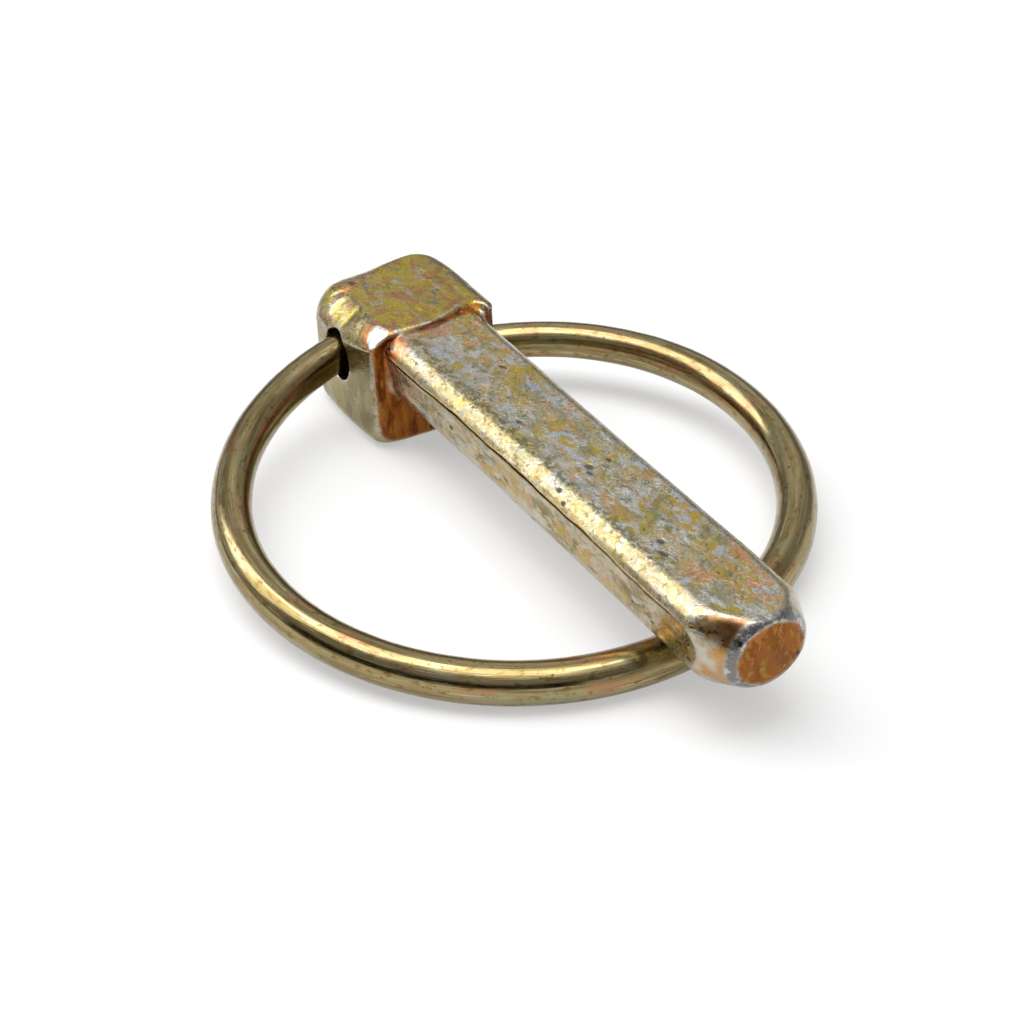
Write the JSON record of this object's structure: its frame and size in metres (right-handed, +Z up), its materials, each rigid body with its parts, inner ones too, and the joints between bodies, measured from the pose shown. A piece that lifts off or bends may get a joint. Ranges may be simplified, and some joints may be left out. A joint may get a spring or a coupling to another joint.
{
  "type": "linch pin",
  "caption": "Forged steel linch pin with a flat-sided rounded shank, a block head and a spring wire ring that snaps over the shank to hold the pin in its cross hole.",
  "frame": {"origin": "on the shank's axis, in the plane where the shank's top meets the head (the shoulder)", "axes": "+X along the shank towards its tip, +Z up, away from the surface that the pin lies on, and +Y across the head along the ring's hinge, so that the closed ring lies below the shank"},
  "size_m": [0.0544, 0.044, 0.01],
  "materials": {
    "pin_plating": "yellow passivated zinc on forged steel, mottled grey, olive, ochre and copper, worn bright on the edges",
    "ring_plating": "yellow passivated zinc on drawn spring wire, brassy gold with fine drawing streaks"
  },
  "bodies": {
    "pin_body": {"pin_body": "pin_plating"},
    "spring_ring": {"spring_ring": "ring_plating"}
  },
  "joints": [
    {"name": "ring_swing", "type": "hinge", "parent": "pin_body", "child": "spring_ring", "pos_m": [-0.0054, 0, -0.0017], "axis": [0.054, 0.9755, -0.2133], "range_deg": [0, 180]}
  ]
}
